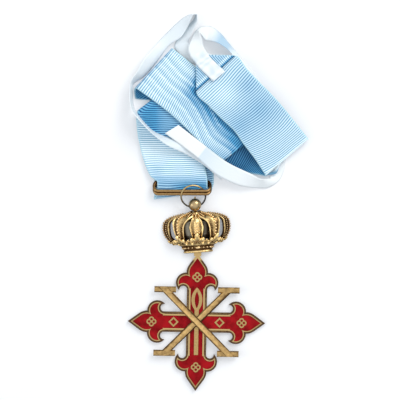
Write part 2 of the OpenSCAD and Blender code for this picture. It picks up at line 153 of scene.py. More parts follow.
# %% Copies of one small form
def ball_form(rows=9, loop=12):
    """A unit ball: rows from pole to pole, loop points round each, poles nearly closed."""
    a = np.linspace(0.02, np.pi - 0.02, rows)[:, None]
    b = all_round(loop)[None, :]
    points = np.stack([np.sin(a) * np.cos(b), np.sin(a) * np.sin(b), np.cos(a) + 0 * b], axis=-1)
    return points.reshape(-1, 3), skin_faces(rows, loop)


def many(form, faces, sizes, frames, centres):
    """form * size, turned by each 3 x 3 frame (its columns are the axes), moved to each centre."""
    points = np.einsum("nij,nkj->nki", frames, form[None] * np.asarray(sizes)[:, None, :])
    points = points + np.asarray(centres)[:, None, :]
    first = len(form) * np.arange(len(points))[:, None, None]
    return points.reshape(-1, 3), (faces[None] + first).reshape(-1, 4)


def frames_of(x_axis, y_axis, z_axis):
    """3 x 3 frames, one for each angle, from the three parts of each axis."""
    return np.stack([np.stack(axis, -1) for axis in (x_axis, y_axis, z_axis)], -1)


# %% [markdown]
# ## Finishes
#
# Each finish is a small network of nodes. Colour follows the piece's own coordinates:
# height for the patina that stays in the low places of the metal, noise for wear, and the
# cloth's own measure along and across for its ribs. A tone attribute on many pieces carries
# painted shade and light.

# %% Node helpers
def new_finish(name, **fixed):
    """A material whose Principled shader has the given sockets set to plain values."""
    material = bpy.data.materials.new(name)
    material.use_nodes = True
    shader = material.node_tree.nodes["Principled BSDF"]
    for socket, value in fixed.items():
        shader.inputs[socket.replace("_", " ")].default_value = value
    return material, shader


def feed(socket, value):
    """Link another node's output to a socket, or set the socket to a plain value."""
    if isinstance(value, (Number, bpy.types.NodeSocket)):
        socket.id_data.links.new(getattr(value, "socket", value), socket)
    else:
        socket.default_value = value


def add(near, kind, links=None, **settings):
    """A node in the network of near, another node or its output; its properties are set, and
    its inputs linked or given values."""
    node = near.id_data.nodes.new("ShaderNode" + kind)
    for key, value in settings.items():
        setattr(node, key, value)
    for key, value in (links or {}).items():
        feed(node.inputs[key], value)
    return node


# %% Numbers in a network
class Number:
    """A number that a node gives. Sums with it make Math nodes, so a finish can be written as
    its formula."""

    def __init__(self, socket):
        self.socket, self.id_data = socket, socket.id_data

    def math(self, operation, *others):
        """One Math node, with this number first."""
        links = dict(enumerate([self, *others]))
        return Number(add(self, "Math", links, operation=operation).outputs[0])

    __add__ = partialmethod(math, "ADD")
    __sub__ = partialmethod(math, "SUBTRACT")
    __mul__ = partialmethod(math, "MULTIPLY")
    __truediv__ = partialmethod(math, "DIVIDE")
    __lt__ = partialmethod(math, "LESS_THAN")
    __abs__ = partialmethod(math, "ABSOLUTE")


def climb(value, low, high):
    """0 up to low, 1 from high on, and straight between them."""
    return Number(add(value, "MapRange", {0: value, 1: low, 2: high}).outputs[0])


def parts(vector):
    """The three numbers of a vector."""
    return [Number(part) for part in add(vector, "SeparateXYZ", {0: vector}).outputs]


def noise(vector, scale, detail=3.0, rough=0.5):
    """Noise with scale waves to each unit of the vector: on a piece, 1000 gives waves of 1 mm."""
    links = {"Vector": vector, "Scale": scale, "Detail": detail, "Roughness": rough}
    return Number(add(vector, "TexNoise", links).outputs[0])


# %% Colours in a network
def ramp(factor, *stops):
    """Colours between stops of (place, red, green, blue)."""
    node = add(factor, "ValToRGB", {0: factor})
    elements = node.color_ramp.elements
    while len(elements) < len(stops):
        elements.new(0.5)
    for element, (at, r, g, b) in zip(elements, stops):
        element.position = at
        element.color = (r, g, b, 1)
    return node.outputs[0]


def blend(factor, a, b, kind="MIX"):
    """One Mix node for colours."""
    node = add(factor, "Mix", data_type="RGBA", blend_type=kind)
    for name, sort, value in (("Factor", "VALUE", factor), ("A", "RGBA", a), ("B", "RGBA", b)):
        feed(next(s for s in node.inputs if (s.name, s.type) == (name, sort)), value)
    return next(s for s in node.outputs if s.type == "RGBA")


# %% What the finishes share
def own_place(shader):
    """The point's place in the piece's own coordinates, in metres."""
    return add(shader, "TexCoord").outputs["Object"]


def own_tone(shader):
    """The shade that the mesh carries in its tone attribute; 0 where it has none."""
    return Number(add(shader, "Attribute", attribute_name="tone").outputs["Fac"])


def dress(shader, colour, height, strength, distance):
    """Colour, and fine relief that only the light sees."""
    feed(shader.inputs["Base Color"], colour)
    relief = add(shader, "Bump", {"Height": height, "Strength": strength, "Distance": distance})
    feed(shader.inputs["Normal"], relief.outputs[0])


# %% [markdown]
# ### Gilt metal
#
# Old gilding is bright where fingers and cloths reach it and brown where they don't. The
# height above the table, broken up by noise, chooses between the two.

# %% Grime and painted shade on the bars
BAR_MIDDLE, BAR_HALF = (-0.0096, -0.05258, 0.0), 0.0015
BAR_SIDE, BAR_REACH = 1.03, 1.1  # half widths: the upper bar's side, how far the grime and painted shade go
BAR_ENDS = 0.0127  # metres up or down from the middle to where the end bars begin


def bar_grime_and_shade(where):
    """Grime and painted shade at the sides of the diagonal bars, and a painted shade that makes
    one side of each bar lighter than the other. In half widths, own is (x + y) / sqrt 2 on the
    upper bar and (x - y) / sqrt 2 on the lower; the shade is 0.8 at the sides, and 0.3 own."""
    from_middle = add(where, "VectorMath", {0: where, 1: BAR_MIDDLE}, operation="SUBTRACT")
    x, y, _ = parts(from_middle.outputs[0])
    scale = 0.5 ** 0.5 / BAR_HALF
    upper, lower = (x + y) * scale, (x - y) * scale
    own = (abs(upper) < BAR_SIDE) * (upper - lower) + lower
    on_bars = (abs(own) < BAR_REACH) * (abs(y) < BAR_ENDS)
    return on_bars * (climb(abs(own), 0.5, 1.0) * 0.8 + own * 0.3)


# %% Gilt
CROSS_HEART = (-0.0096, -0.0529, 0.002)
FADE_FROM, FADE_TO = 0.006, 0.026  # distance from the heart
NECK_FROM, NECK_TO = -0.0262, -0.0252  # Y at the top of the cross


def gilt(name, bright, dull, low, high, rough, grain=1500.0, spots=0.5, fade=0.0, neck=0.0,
         bars=False):
    """Dull at height low, bright at high. Noise and the tone attribute, which carries painted shade
    (with patina on the crown), shift it; fade dulls it away from the cross's heart, neck brightens
    a band at the cross's top, and bars adds grime and painted shade at their sides."""
    material, shader = new_finish(name, Metallic=1.0)
    where = own_place(shader)
    _, up, height = parts(where)
    mottle = noise(where, grain, 4.0, 0.6)
    fine = noise(where, grain * 4, 2.0)
    from_heart = add(where, "VectorMath", {0: where, 1: CROSS_HEART}, operation="DISTANCE")
    away = climb(from_heart.outputs["Value"], FADE_FROM, FADE_TO)
    level = (mottle - 0.5) * spots + (height - low) / (high - low) - own_tone(shader) * 1.1
    level = level - away * fade + climb(up, NECK_FROM, NECK_TO) * neck
    if bars:
        level = level - bar_grime_and_shade(where)
    middle = [0.45 * a + 0.55 * b for a, b in zip(dull, bright)]
    colour = ramp(level, (0, *dull), (0.55, *middle), (1, *bright))
    dress(shader, colour, fine * 0.4 + mottle, 0.25, 0.0001)
    feed(shader.inputs["Roughness"], mottle * 0.25 + (rough - 0.1))
    return material


# Colours where it is bright and dull, the heights where it is dull and bright, roughness
CROSS_GILT = gilt("cross_gilt", (0.54, 0.38, 0.17), (0.095, 0.055, 0.028), 0.0014, 0.0019, 0.32,
                  spots=1.0, fade=0.45, neck=1.3)
RAISED_GILT = gilt("raised_gilt", (0.54, 0.38, 0.16), (0.24, 0.13, 0.05), 0.001, 0.0024, 0.34,
                   spots=1.1)
BAR_GILT = gilt("bar_gilt", (0.73, 0.49, 0.2), (0.12, 0.066, 0.026), 0.0003, 0.0044, 0.36,
                grain=800.0, spots=1.3, fade=0.3, bars=True)
CROWN_GILT = gilt("crown_gilt", (0.95, 0.69, 0.31), (0.075, 0.034, 0.011), 0.0, 0.0045, 0.24,
                  spots=1.1)
# A dim grey gilt: painted shade for the lining behind the arches.
LINING_GILT = gilt("lining_gilt", (0.3, 0.28, 0.22), (0.03, 0.016, 0.008), -0.004, 0.002, 0.5)
PEARL_GILT = gilt("pearl_gilt", (0.85, 0.62, 0.32), (0.35, 0.21, 0.09), 0.0, 0.005, 0.2)
BALL_GILT = gilt("ball_gilt", (0.46, 0.34, 0.18), (0.12, 0.075, 0.03), 0.0012, 0.005, 0.26,
                 grain=900.0)
RING_GILT = gilt("ring_gilt", (0.55, 0.4, 0.18), (0.06, 0.055, 0.05), 0.0038, 0.0052, 0.24)
WIRE_GILT = gilt("wire_gilt", (0.42, 0.26, 0.11), (0.075, 0.034, 0.012), 0.0025, 0.0052, 0.26,
                 grain=900.0)

# %% [markdown]
# ### Enamel
#
# Enamel is coloured glass: a deep, slightly uneven red under a smooth coat.

# %% Red enamel
ENAMEL, shader = new_finish("red_enamel", Roughness=0.2, Specular_IOR_Level=0.05,
                            Coat_Weight=0.02, Coat_Roughness=0.05)
where = own_place(shader)
cloud = noise(where, 200.0, 5.0, 0.65)
red = ramp(cloud, (0.32, 0.15, 0.0015, 0.003), (0.62, 0.34, 0.006, 0.01))
dress(shader, red, noise(where, 500.0), 0.12, 0.0002)

# %% [markdown]
# ### Ribbed silk and satin
#
# The ribbon is a corded weave: round ribs run across it, a little under a millimetre apart.
# The ribs are real relief in the mesh, and the finish paints shade into the valleys between
# them, by the same measure along the ribbon. The selvedges are paler.

# %% Ribbed silk
RIB = 0.95  # mm from rib to rib
RIBBON_WIDTH = 25.0
SELVEDGE_FROM, SELVEDGE_TO = 0.8, 0.3  # mm from the edge


def ribbed_silk(name, light, valley, deep_light, deep_valley, dark):
    """Ribs from the cosine of the measure along, with painted shade in the valleys. Tone is painted
    shade and light: 0 to 1 goes to the deep shade, 1 to 2 on to the dark one, and below 0 the
    valleys fill with painted light."""
    material, shader = new_finish(name, Roughness=0.55, Specular_IOR_Level=0.16,
                                  Sheen_Weight=0.04, Sheen_Roughness=0.4)
    across, along, _ = parts(add(shader, "UVMap", uv_map="cloth").outputs[0])
    rib = (along * (2 * np.pi / RIB)).math("COSINE") * -0.5 + 0.5
    threads = noise(own_place(shader), 2500.0, 3.0, 0.7)
    tone = own_tone(shader)
    level = (threads - 0.5) * 0.3 + rib - tone.math("MINIMUM", 0.0)
    body = blend(tone, ramp(level, (0.15, *valley), (0.75, *light)),
                 ramp(level, (0.15, *deep_valley), (0.75, *deep_light)))
    body = blend(tone - 1.0, body, (*dark, 1), "MULTIPLY")
    edge = abs(across - RIBBON_WIDTH / 2)
    selvedge = climb(edge, RIBBON_WIDTH / 2 - SELVEDGE_FROM, RIBBON_WIDTH / 2 - SELVEDGE_TO)
    body = blend(selvedge * 0.6, body, (0.5, 0.78, 0.88, 1))
    dress(shader, body, threads * 0.3 + rib, 0.5, 0.0001)
    return material


SILK = ribbed_silk("ribbed_silk", (0.78, 0.93, 0.99), (0.19, 0.41, 0.59), (0.11, 0.42, 0.67),
                   (0.001, 0.075, 0.25), (0.25, 0.34, 0.42))


# %% Satin
def satin(name, light, dim):
    """Fine lengthwise threads from noise stretched along the tape, darkened towards dim by the
    tone attribute, a painted shade; some light passes through.
    """
    material, shader = new_finish(name, Roughness=0.4, Specular_IOR_Level=0.3)
    uv = add(shader, "UVMap", uv_map="cloth").outputs[0]
    stretched = add(uv, "Mapping", {"Vector": uv, "Scale": (6.0, 0.25, 1.0)}).outputs[0]
    threads = noise(stretched, 1.0, 3.0, 0.6)
    body = ramp(threads, (0.3, *[0.96 * c for c in light]), (0.7, *light))
    body = blend(own_tone(shader), body, (*dim, 1), "MULTIPLY")
    dress(shader, body, threads, 0.25, 0.00005)
    through = add(body, "BsdfTranslucent", {"Color": body})
    both = add(shader, "MixShader", {0: 0.15, 1: shader.outputs[0], 2: through.outputs[0]})
    feed(material.node_tree.nodes["Material Output"].inputs["Surface"], both.outputs[0])
    return material


SATIN = satin("white_satin", (0.92, 0.965, 0.98), (0.44, 0.64, 0.8))
print("finishes:", len(bpy.data.materials))

# %% [markdown]
# ## Floor, light and camera
#
# The badge lies on plain white under a broad soft light that comes a little from the upper
# right, with a weak one low on the left. The floor has a painted glow, so shadows stay pale.
# The camera looks straight down from far off, so the picture is nearly a plan.

# %% Floor
FLOOR_HALF = 2
corners = [(x * FLOOR_HALF, y * FLOOR_HALF, 0) for x, y in ((-1, -1), (1, -1), (1, 1), (-1, 1))]
floor_mesh = bpy.data.meshes.new("floor")
floor_mesh.from_pydata(corners, [], [(0, 1, 2, 3)])
floor = new_object("floor", floor_mesh)
# The paper's emission is a painted glow that lightens the shadows.
paper, shader = new_finish("white_paper", Roughness=0.9, Specular_IOR_Level=0.1,
                           Emission_Color=(0.9, 0.94, 1.0, 1.0), Emission_Strength=0.28)
cloud = noise(own_place(shader), 40.0)
feed(shader.inputs["Base Color"],
     ramp(cloud, (0.3, 0.62, 0.625, 0.63), (0.7, 0.64, 0.645, 0.65)))
floor_mesh.materials.append(paper)

# %% Light
world = bpy.data.worlds.new("studio")
bpy.context.scene.world = world
world.use_nodes = True
background = world.node_tree.nodes["Background"]
rise = parts(add(background, "TexCoord").outputs["Generated"])[2]
sky = ramp(rise, (0.0, 0.16, 0.17, 0.19), (0.26, 0.38, 0.4, 0.43),
           (0.64, 0.8, 0.83, 0.88), (0.9, 1.0, 1.0, 1.0))
feed(background.inputs["Color"], sky)
feed(background.inputs["Strength"], 1.09)


def softbox(name, at, size, power, colour):
    """A square area light that faces the middle of the badge."""
    data = bpy.data.lights.new(name, "AREA")
    data.size = size
    data.energy = power
    data.color = colour
    lamp = new_object(name, data)
    lamp.location = at
    lamp.rotation_euler = Vector(at).to_track_quat("Z", "Y").to_euler()


softbox("key", (0.6, 0.75, 0.8), size=0.7, power=8.3, colour=(1.0, 0.98, 0.95))
softbox("fill", (-1.0, -0.1, 0.5), size=0.6, power=2.2, colour=(0.98, 0.98, 1.0))

# %% Camera
PICTURE_WIDTH, PICTURE_MIDDLE = 0.176, (-0.00806, 0.0008)
LENS, SENSOR = 200, 36
camera_data = bpy.data.cameras.new("camera")
camera_data.lens = LENS
camera_data.sensor_width = SENSOR
camera_data.clip_start = 0.05
camera = new_object("camera", camera_data)
camera.location = (*PICTURE_MIDDLE, PICTURE_WIDTH * LENS / SENSOR)
bpy.context.scene.camera = camera
bpy.context.scene.view_settings.view_transform = "Standard"
print("camera height:", round(camera.location.z, 3))

# %% [markdown]
# ## Metal that keeps its solids
#
# The cross, its enamel, the ornaments, the saltire and the crown's ball have plain forms, so
# their solids are exact and only take a finish.

# %% Finish the solids
KEPT = {"cross": CROSS_GILT, "enamel": ENAMEL, "saltire": BAR_GILT, "crown_ball": BALL_GILT}
for node in ("staff", "rosette_top", "rosette_left", "rosette_right", "rosette_bottom",
             "lozenge_left", "lozenge_right"):
    KEPT[node] = RAISED_GILT
for node, finish in KEPT.items():
    solid = bpy.data.objects[node]
    solid.data.materials.clear()
    solid.data.materials.append(finish)
print("finished solids:", ", ".join(KEPT))

# %% [markdown]
# ## Curves through measured rows
#
# The measured tables have a row every few millimetres. A monotone cubic runs through the
# rows smoothly and never swings past them, so a flat stretch between folds stays flat.

# %% Smooth curve through rows
def smooth_through(t, y, at):
    """Cubic through (t, y); its slopes are harmonic means of the steps beside them, 0 at a turn."""
    h = np.diff(t)[:, None]
    d = np.diff(y, axis=0) / h
    w1, w2 = 2 * h[1:] + h[:-1], h[1:] + 2 * h[:-1]
    same = d[:-1] * d[1:] > 1e-12
    before, after = np.where(same, d[:-1], 1), np.where(same, d[1:], 1)
    mean = (w1 + w2) / np.where(same, w1 / before + w2 / after, 1)
    slope = np.concatenate([d[:1], np.where(same, mean, 0), d[-1:]])
    k = np.clip(np.searchsorted(t, at, side="right") - 1, 0, len(t) - 2)
    h, s = h[k], ((at - t[k]) / np.diff(t)[k])[:, None]
    return ((1 + 2 * s) * (1 - s) ** 2 * y[k] + s * (1 - s) ** 2 * h * slope[k]
            + s * s * (3 - 2 * s) * y[k + 1] + s * s * (s - 1) * h * slope[k + 1])


def lengths(points):
    """Distance run along a line of points, from 0."""
    return np.concatenate([[0], np.cumsum(np.linalg.norm(np.diff(points, axis=0), axis=1))])


# %% [markdown]
# ## Wires
#
# The ring and the loop are round wire: a circle carried along a path. The circle stands
# square to the path, with one axis kept level.

# %% Round wire along a path
WIRE_SIDES = 16


def wire(name, node, path, diameter, finish, closed, tone):
    """At each station a circle on the axes u (level) and v, both square to the path."""
    ahead = np.roll(path, -1, 0) - np.roll(path, 1, 0) if closed else np.gradient(path, axis=0)
    u = unit(np.cross(ahead, [0, 0, 1.0]))
    v = unit(np.cross(u, ahead))
    a = all_round(WIRE_SIDES)[None, :, None]
    points = path[:, None] + (u[:, None] * np.cos(a) + v[:, None] * np.sin(a)) * diameter / 2
    make_piece(name, node, place(points), skin_faces(len(path), WIRE_SIDES, closed), finish,
               tone=np.repeat(tone, WIRE_SIDES))


# %% Jump ring
RING_AT, RING_WIRE = np.array([-1.4, 55.3, 4.18]), 0.75
RING_HALF_X, RING_HALF_Y = 5.35, 4.75
RISE_X, RISE_Y = -0.1875, 0.238  # rise for each millimetre along X and along Y
t = all_round(120)
x, y = RING_HALF_X * np.cos(t), RING_HALF_Y * np.sin(t)
ring_path = RING_AT + np.stack([x, y, RISE_X * x + RISE_Y * y], axis=-1)
# The tone darkens the ring's left and right sides: painted shade.
wire("fine_jump_ring", "jump_ring", ring_path, RING_WIRE, RING_GILT, True,
     tone=1.2 * np.clip(np.abs(np.cos(t)) - 0.45, 0, 1))

# %% [markdown]
# The loop is wound twice. Each winding runs along the back, round the left end, along the
# front and round the right end, and the second lies a wire's width in front of the first.

# %% Ribbon loop
LOOP_WIRE, LOOP_BACK, LOOP_LINE = 1.34, 1.62, 59.75  # thickness, height of the back run, mid Y
LOOP_ENDS = {-1: (-16.9, 4.15), 1: (4.4, 5.0)}  # X of each end, height of the front run there
WINDING_STEP = 1.33  # mm from one winding to the next


def loop_end(side, turns, winding):
    """Half an oval in plan; the height falls from the front run to the back run as a cosine."""
    x0, front = LOOP_ENDS[side]
    near = (1 + np.cos(turns)) / 2
    return np.stack([x0 + side * 1.7 * np.sin(turns),
                     LOOP_LINE - 2.1 * np.cos(turns) - WINDING_STEP * winding,
                     LOOP_BACK + (front - 0.1 * winding - LOOP_BACK) * near], axis=-1)


half_turn = np.linspace(0, np.pi, 17)
loop_path = np.concatenate([
    [[-9, 61.8, LOOP_BACK]], loop_end(-1, half_turn[::-1], 0), loop_end(1, half_turn, 0),
    [[-3.5, 61.8, LOOP_BACK], [-7.5, 60.4, LOOP_BACK]],
    loop_end(-1, half_turn[::-1], 1), loop_end(1, half_turn, 1), [[-1.5, 60.4, LOOP_BACK]]])
# The tone darkens the loop towards its right end: painted shade.
wire("fine_ribbon_loop", "ribbon_loop", loop_path, LOOP_WIRE, WIRE_GILT, False,
     tone=0.4 * np.clip((loop_path[:, 0] + 17) / 21, 0, 1))

# %% [markdown]
# ## The crown
#
# A cast crown is a bulging basket. Its arches all follow one profile, out from the circlet
# and in again to the top, turned to different angles. So a point of the crown is found from
# three numbers: the measure up the profile, the angle round, and how far it stands off.

# %% The crown's profile
CROWN_AT, CROWN_TURN = np.array([0.8, 30.6, 0.0]), np.radians(4)
CROWN_BACK, CROWN_SWELL = 0.75, 0.36
PROFILE = np.array([  # half width, height, width of the arch against its widest
    [9.2, 4.2, 0.6], [11.2, 5.6, 0.65], [12.9, 7, 0.75], [13.9, 8.9, 0.9], [14.3, 11, 1],
    [14.1, 13.2, 0.95], [13.1, 14.7, 0.85], [11, 15.8, 0.8], [8.4, 16.5, 0.8],
    [5.6, 17, 0.8], [3.2, 17.6, 0.8], [1.6, 18.3, 0.8]])
PROFILE_RUN = lengths(PROFILE[:, :2])


def crown_place(points):
    """Crown millimetres, with height along Y, to the model's metres: a small turn, then a move."""
    c, s = np.cos(CROWN_TURN), np.sin(CROWN_TURN)
    return place(np.asarray(points) @ np.array([[c, s, 0], [-s, c, 0], [0, 0, 1]]) + CROWN_AT)


def on_profile(run, turn, off):
    """Half width r and height h at run; then x = r sin(turn) and z = back + swell r cos(turn),
    with off along the outward normal."""
    shape = (*np.shape(run), 3)
    row, after = (smooth_through(PROFILE_RUN, PROFILE, np.ravel(run) + more).reshape(shape)
                  for more in (0, 0.01))
    step = after - row
    n = unit(np.stack([step[..., 1], -step[..., 0]], axis=-1))
    r, h = row[..., 0], row[..., 1]
    return np.stack([(r + off * n[..., 0]) * np.sin(turn), h + off * n[..., 1],
                     CROWN_BACK + (CROWN_SWELL * r + off * n[..., 0]) * np.cos(turn)], axis=-1)


def crown_piece(name, points, faces, finish, tone=None):
    """A piece of the crown from points in crown millimetres; it stands for part of its solid."""
    make_piece(name, "crown", crown_place(points), faces, finish, tone=tone)


print("profile length:", round(PROFILE_RUN[-1], 1))

# %% [markdown]
# Each arch is spindle-shaped, with two raised rims, a channel inside each, and a ridge down
# the middle that carries beads. The channels, the backs and the feet of the arches are darkened
# by patina and painted shade. The outermost arches show their rims edge-on. Towards the top the
# arches beside the middle one spread until they touch, and close the dome.

# %% Arches
ARCHES = np.array([  # angle round the crown, half width in degrees, ridge, then both at the top
    [-73.5, 16.8, 0.1, -73, 16.5], [-34.2, 11.5, 0.25, -31, 26], [0, 13.3, 0.45, 0, 5.5],
    [34, 11.5, 0.25, 31, 26], [73.5, 16.8, 0.1, 73, 16.5]])
ARCH_WALL = 0.75
SPREAD_FROM, SPREAD_OVER = 8.5, 8.5  # mm up the profile
RUNS = np.linspace(0, PROFILE_RUN[-1] - 0.02, 90)
SIDE = np.linspace(-1, 1, 37)
AT_BACK = np.ones(len(SIDE))


def arch(at, half, ridge, top_at, top_half):
    """Across, s from -1 to 1: rims at 0.86, a ridge at 0, a plain back. dark, patina and painted
    shade, is high where the face is low and on the back, less towards the top, and more near the
    foot.
    """
    high = np.clip((RUNS - SPREAD_FROM) / SPREAD_OVER, 0, 1)
    high = (high * high * (3 - 2 * high))[:, None]
    face = 0.5 * bell(np.abs(SIDE) - 0.86, 0.11) + ridge * bell(SIDE, 0.3) - 0.12
    wide = np.interp(RUNS, PROFILE_RUN, PROFILE[:, 2])[:, None]
    at = at * (1 - high) + top_at * high
    half = half * wide * (1 - high) + top_half * high
    turn = np.radians(at + half * np.concatenate([SIDE, SIDE[::-1]]))
    off = np.concatenate([face, -ARCH_WALL * AT_BACK])
    dark = np.concatenate([np.clip(1 - (face + 0.1) / 0.4, 0, 1), AT_BACK]) * (1 - 0.6 * high)
    dark = dark + np.clip(1.2 - RUNS / 6, 0, 1)[:, None]
    return on_profile(RUNS[:, None] + 0 * turn, turn, off), dark


points, dark = map(np.stack, zip(*[arch(*row) for row in ARCHES]))
first = dark[0].size * np.arange(len(ARCHES))[:, None, None]
faces = (skin_faces(*dark[0].shape) + first).reshape(-1, 4)
crown_piece("crown_arches", points, faces, CROWN_GILT, dark)

# %% [markdown]
# Behind the three middle arches the crown is lined. Its dim finish and its tone, darker on the
# right, are painted shade, so the openings beside the middle arch look dark.

# %% Lining
LINING_FRONT, LINING_BACK = -1.9, -2.3  # mm off the crown's surface
run, turn = np.meshgrid(np.linspace(0.2, 17.5, 40), np.radians(np.linspace(-36, 36, 41)),
                        indexing="ij")
lined = there_and_back(on_profile(run, turn, LINING_FRONT), on_profile(run, turn, LINING_BACK))
# Painted shade: darker on the right half, and away from 18 degrees to either side.
lining_tone = 0.25 + 0.6 * (turn > 0) + 0.5 * ((np.abs(turn) - 0.31) / 0.1) ** 2
crown_piece("crown_lining", lined, skin_faces(*lined.shape[:2]), LINING_GILT,
            there_and_back(lining_tone, lining_tone))

# %% [markdown]
# The circlet is a moulding carried round the same oval: a roll at the foot, a band for the
# jewels, and a flaring lip on top.

# %% Circlet
MOULDING = np.array([  # half width, height, tone (patina and painted shade, high in the hollows)
    [5.7, 0.1, 0.3], [6.1, 0.0, 0], [6.45, 0.2, 0], [6.5, 0.75, 0], [6.2, 1.0, 0.9],
    [6.25, 1.2, 0.9], [6.9, 2.3, 0.7], [7.5, 3.2, 0.8], [7.9, 3.35, 0.1], [8.2, 3.55, 0.3],
    [8.9, 4.1, 0.5], [9.4, 4.4, 0], [9.5, 4.75, 0], [9.1, 4.9, 0.4]])
CIRCLET_LIFT, CIRCLET_WALL = 0.6, 0.9


def on_circlet(r, h, turn, off=0.0):
    """The circlet's oval: x = r sin(turn), z = back + (swell r + lift) cos(turn)."""
    return np.stack([(r + off) * np.sin(turn), h + 0 * turn,
                     CROWN_BACK + (CROWN_SWELL * r + CIRCLET_LIFT + off) * np.cos(turn)], axis=-1)


turns = np.radians(np.linspace(-90, 90, 91))[:, None]
round_r, round_h, dark = np.concatenate([MOULDING, MOULDING[::-1]]).T[:, None, :]
depth = np.repeat([0, -CIRCLET_WALL], len(MOULDING))[None, :]
points = on_circlet(round_r, round_h, turns, depth)
crown_piece("crown_circlet", points, skin_faces(*points.shape[:2]), CROWN_GILT, dark + 0 * turns)

# %% [markdown]
# Pearls run along the arches, jewels round the band. Both are small balls, squeezed for the
# oval stones, each turned to face out of the crown.

# %% Pearls
ball_points, ball_faces = ball_form()
UPRIGHT = np.eye(3)[None]  # a frame that turns nothing
BEADS = (  # angle to either side, first and last place up the profile, spacing, radius, stand-off
    (35, 4.6, 22.5, 1.25, 0.52, 0.45), (17, 14.5, 22.5, 0.8, 0.26, 0.3),
    (50, 14.0, 22.5, 0.8, 0.26, 0.3), (8, 16.0, 22.5, 0.8, 0.26, 0.35),
    (88, 1.5, 21.0, 1.02, 0.47, 0.3), (68, 3.0, 19.0, 0.85, 0.27, 0.25),
    (0, 4.8, 11.5, 1.2, 0.5, 0.55), (0, 12.0, 23.0, 0.75, 0.28, 0.4),
    (4, 5.4, 9.5, 1.2, 0.3, 0.35))
centres, radii = [], []
for angle, first, last, spacing, radius, off in BEADS:
    for turn in sorted({-angle, angle}):
        run = np.arange(first, last, spacing)
        centres.append(on_profile(run, np.radians(turn) + 0 * run, off))
        radii += [radius] * len(run)
points, faces = many(ball_points, ball_faces, np.array(radii)[:, None], UPRIGHT,
                     np.concatenate(centres))
crown_piece("crown_pearls", points, faces, PEARL_GILT)

# %% Jewels
JEWELS = np.array([  # angle, half length, half height
    [-72, 0.6, 0.5], [-55, 0.9, 0.55], [-36, 0.5, 0.5], [-21, 0.45, 0.4], [0, 1.25, 0.65],
    [21, 0.45, 0.4], [36, 0.5, 0.5], [55, 0.9, 0.55], [72, 0.6, 0.5]])
JEWEL_OUT, JEWEL_UP, JEWEL_DEPTH = 6.95, 2.25, 0.55  # place on the moulding, half depth
BAND_DEPTH = 0.42  # depth of the oval against its width, near the band


def facing(turn):
    """Axes of a small form that looks out of the crown at each angle: along, up, outwards."""
    lean = np.arctan2(BAND_DEPTH * np.sin(turn), np.cos(turn))
    c, s, o = np.cos(lean), np.sin(lean), 0 * lean
    return frames_of((c, o, -s), (o, o + 1, o), (s, o, c))


jewel_turn = np.radians(JEWELS[:, 0])
sizes = np.insert(JEWELS[:, 1:], 2, JEWEL_DEPTH, axis=1)
points, faces = many(ball_points, ball_faces, sizes, facing(jewel_turn),
                     on_circlet(JEWEL_OUT, JEWEL_UP, jewel_turn))
crown_piece("crown_jewels", points, faces, PEARL_GILT)

# %% [markdown]
# Leaves stand on the circlet in front of the arches: large ones of five lobes at the feet
# of the arches and small ones between. They are drawn flat, as arc, rise and height, and
# then wrapped on the crown's own surface, so they flare out with it. The surface leans out
# there, so each leaf is half as long again up the profile as it looks from the front.

# %% One lobe of a leaf
LOBE_HALF = 0.3  # half width for a length of 1


def lobe_form(rows=12, loop=14):
    """Along y from 0 to 1 the half width is 0.3 sin(pi y) to the 0.6; across, a dome with a
    groove, and the whole lobe curls up by 0.35 y^2. dark, patina and painted shade, is high where
    the lobe is low and in the groove, and less towards the tip."""
    y = np.linspace(0.02, 0.98, rows)[:, None]
    a = all_round(loop)[None, :]
    wide = LOBE_HALF * np.sin(np.pi * y) ** 0.6
    dip = bell(np.cos(a), 0.4) * (np.sin(a) > 0)
    x, z = wide * np.cos(a), wide * np.sin(a) * (1 - 0.6 * dip)
    dark = (1.3 * np.clip(1 - 1.6 * z / LOBE_HALF, 0, 1) + 1.1 * dip) * (1 - 0.6 * y)
    points = np.stack([x, y + 0 * a, z + 0.35 * y ** 2], axis=-1)
    return points.reshape(-1, 3), skin_faces(rows, loop), dark.ravel()


# %% Leaves
LEAVES = np.array([  # angle, size
    [-73, 2.1], [-55, 1.9], [-36, 3.5], [-18, 2.0], [0, 3.9], [18, 2.0], [36, 3.5], [55, 2.0],
    [73, 2.2]])
LOBE_TURN = np.radians([-82.0, -42.0, 0.0, 42.0, 82.0])
LOBE_SIZE = np.array([0.7, 0.88, 1.0, 0.88, 0.7])
LEAF_ARC = 11.5  # mm round the crown for each radian
LEAF_FOOT, LEAF_OFF = 0.75, 0.45  # rise and stand-off where a leaf starts
LEAN_OUT = 1.45
lobe_points, lobe_faces, lobe_dark = lobe_form()
c, s, o = np.cos(LOBE_TURN), np.sin(LOBE_TURN), 0 * LOBE_TURN
frames = np.tile(frames_of((c, s, o), (-s, c, o), (o, o, o + 1)), (len(LEAVES), 1, 1))
size = (LOBE_SIZE * LEAVES[:, 1:2]).reshape(-1, 1)
feet = np.radians(LEAVES[:, 0:1]) * [LEAF_ARC, 0, 0] + [0, LEAF_FOOT, LEAF_OFF]
starts = np.repeat(feet, len(LOBE_TURN), 0)
points, faces = many(lobe_points, lobe_faces, size, frames, starts)
tips = starts + size * (0.9 * frames[:, :, 1] + [0, 0, 0.33])
curls, curl_faces = many(ball_points, ball_faces, 0.15 * size + 0.1, frames, tips)
dark = np.concatenate([np.tile(lobe_dark, len(starts)), np.zeros(len(curls))])
faces = np.concatenate([faces, curl_faces + len(points)])
x, y, z = np.concatenate([points, curls]).T
wrapped = on_profile(np.clip(LEAN_OUT * y, 0, None), x / LEAF_ARC, z)
crown_piece("crown_leaves", wrapped, faces, CROWN_GILT, dark)

